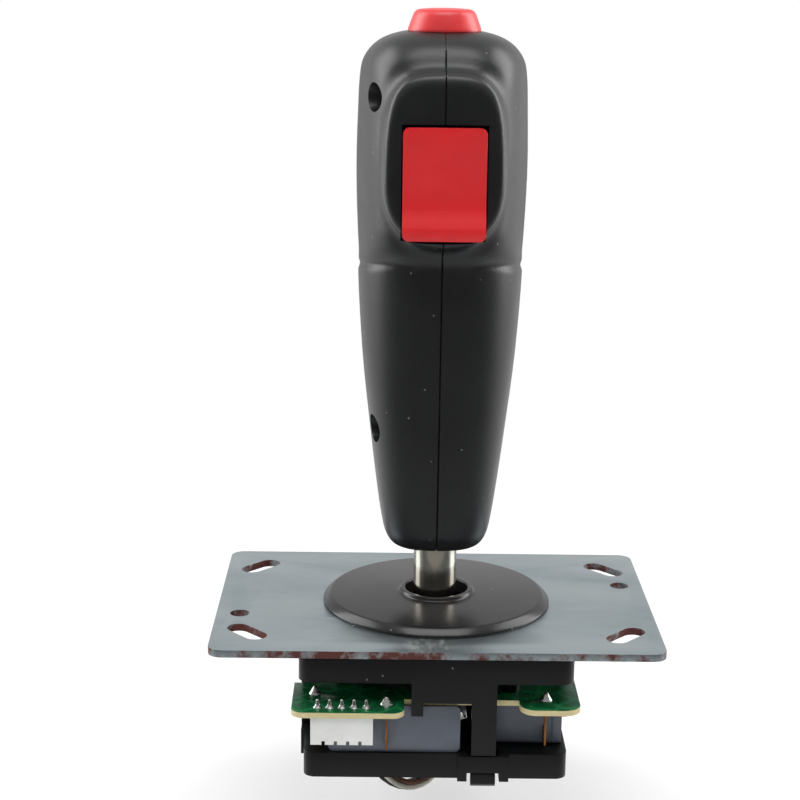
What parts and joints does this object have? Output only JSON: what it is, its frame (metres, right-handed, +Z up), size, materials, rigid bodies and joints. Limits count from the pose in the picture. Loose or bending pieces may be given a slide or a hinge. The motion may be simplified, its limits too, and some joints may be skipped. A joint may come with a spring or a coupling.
{
  "type": "arcade joystick",
  "caption": "Panel-mount arcade joystick with a black pistol grip, red trigger and red thumb button on a steel plate, over a switch base with a circuit board.",
  "frame": {"origin": "where the lever's axis passes the mounting plate's top face, which is the middle of the plate and of its two round bolt holes", "axes": "+Z up the lever to the thumb button, -Y to the trigger's side, which faces the player's fingers, +X to the right as seen from the trigger's side"},
  "size_m": [0.095, 0.0727, 0.1797],
  "materials": {
    "zinc_sheet": "zinc-plated sheet with light rust at the front edge",
    "screw_steel": "bright steel",
    "washer_plastic": "dark grey moulded plastic, satin",
    "black_plastic": "black moulded plastic, satin",
    "board": "green solder mask over a laminate",
    "solder": "bright solder",
    "white_plastic": "white moulded plastic",
    "gold_pin": "plated pin",
    "switch_case": "grey-blue moulded plastic",
    "switch_plunger": "dark red moulded plastic",
    "copper_blade": "copper alloy blade",
    "ivory_plastic": "ivory acetal",
    "spring_steel": "bright spring wire",
    "shaft_steel": "polished steel",
    "grip_plastic": "satin black moulded plastic",
    "red_trigger": "glossy red moulded plastic",
    "red_button": "glossy red moulded plastic",
    "small_switch": "black moulded plastic",
    "lead_cover": "black lead insulation"
  },
  "bodies": {
    "base": {"mounting_plate": "zinc_sheet", "plate_screws": "screw_steel", "dust_washer": "washer_plastic", "housing": "black_plastic", "spring_plate": "spring_steel", "circuit_board": "board", "solder_joints": "solder", "header_shell": "white_plastic", "header_pins": "gold_pin", "switch_front": "switch_case", "switch_right": "switch_case", "switch_rear": "switch_case", "switch_left": "switch_case", "switch_terminals": "copper_blade", "gate": "black_plastic", "lead_loop": "lead_cover", "lead_hank": "lead_cover", "lead_tie": "black_plastic", "lead_tail": "lead_cover", "lead_plug": "white_plastic"},
    "gimbal": {"gimbal_ring": "ivory_plastic", "ring_pins": "spring_steel"},
    "lever": {"pivot_hub": "ivory_plastic", "hub_pins": "spring_steel", "shaft": "shaft_steel", "actuator": "ivory_plastic", "retaining_clip": "spring_steel", "centring_spring": "spring_steel", "shaft_pin": "spring_steel", "grip_left": "grip_plastic", "grip_right": "grip_plastic", "grip_screws": "screw_steel", "trigger_pin": "spring_steel", "trigger_spring": "spring_steel", "trigger_switch": "small_switch", "button_spring": "spring_steel", "button_switch": "small_switch", "grip_leads": "lead_cover"},
    "trigger": {"trigger": "red_trigger"},
    "trigger_plunger": {"trigger_plunger": "switch_plunger"},
    "top_button": {"top_button": "red_button"},
    "button_plunger": {"button_plunger": "switch_plunger"},
    "plunger_front": {"plunger_front": "switch_plunger"},
    "plunger_right": {"plunger_right": "switch_plunger"},
    "plunger_rear": {"plunger_rear": "switch_plunger"},
    "plunger_left": {"plunger_left": "switch_plunger"}
  },
  "joints": [
    {"name": "lever_fore_aft", "type": "hinge", "parent": "base", "child": "gimbal", "pos_m": [0, 0, -0.006], "axis": [1, 0, 0], "range_deg": [-7, 7], "stiffness_Nm_per_rad": 1.6},
    {"name": "lever_left_right", "type": "hinge", "parent": "gimbal", "child": "lever", "pos_m": [0, 0, -0.006], "axis": [0, 1, 0], "range_deg": [-7, 7], "stiffness_Nm_per_rad": 1.6, "deforming": ["centring_spring"]},
    {"name": "trigger_pull", "type": "hinge", "parent": "lever", "child": "trigger", "pos_m": [0, -0.0172, 0.1034], "axis": [1, 0, 0], "range_deg": [0, 7], "stiffness_Nm_per_rad": 0.18, "springref_deg": -3.44, "deforming": ["trigger_spring"]},
    {"name": "trigger_plunger_press", "type": "slide", "parent": "lever", "child": "trigger_plunger", "axis": [0, 1, 0], "range_m": [0, 0.0013]},
    {"name": "button_press", "type": "slide", "parent": "lever", "child": "top_button", "axis": [0, 0, -1], "range_m": [0, 0.0012], "stiffness_N_per_m": 300, "springref_m": -0.003, "deforming": ["button_spring"]},
    {"name": "button_plunger_press", "type": "slide", "parent": "lever", "child": "button_plunger", "axis": [0, 0, -1], "range_m": [0, 0.0012]},
    {"name": "plunger_front_press", "type": "slide", "parent": "base", "child": "plunger_front", "axis": [0, -1, 0], "range_m": [0, 0.001], "stiffness_N_per_m": 500, "springref_m": -0.001},
    {"name": "plunger_right_press", "type": "slide", "parent": "base", "child": "plunger_right", "axis": [1, 0, 0], "range_m": [0, 0.001], "stiffness_N_per_m": 500, "springref_m": -0.001},
    {"name": "plunger_rear_press", "type": "slide", "parent": "base", "child": "plunger_rear", "axis": [0, 1, 0], "range_m": [0, 0.001], "stiffness_N_per_m": 500, "springref_m": -0.001},
    {"name": "plunger_left_press", "type": "slide", "parent": "base", "child": "plunger_left", "axis": [-1, 0, 0], "range_m": [0, 0.001], "stiffness_N_per_m": 500, "springref_m": -0.001}
  ],
  "couplings": [
    {"joint": "trigger_plunger_press", "follows": "trigger_pull", "m_per_rad": 0.0104},
    {"joint": "button_plunger_press", "follows": "button_press", "ratio": 1}
  ]
}
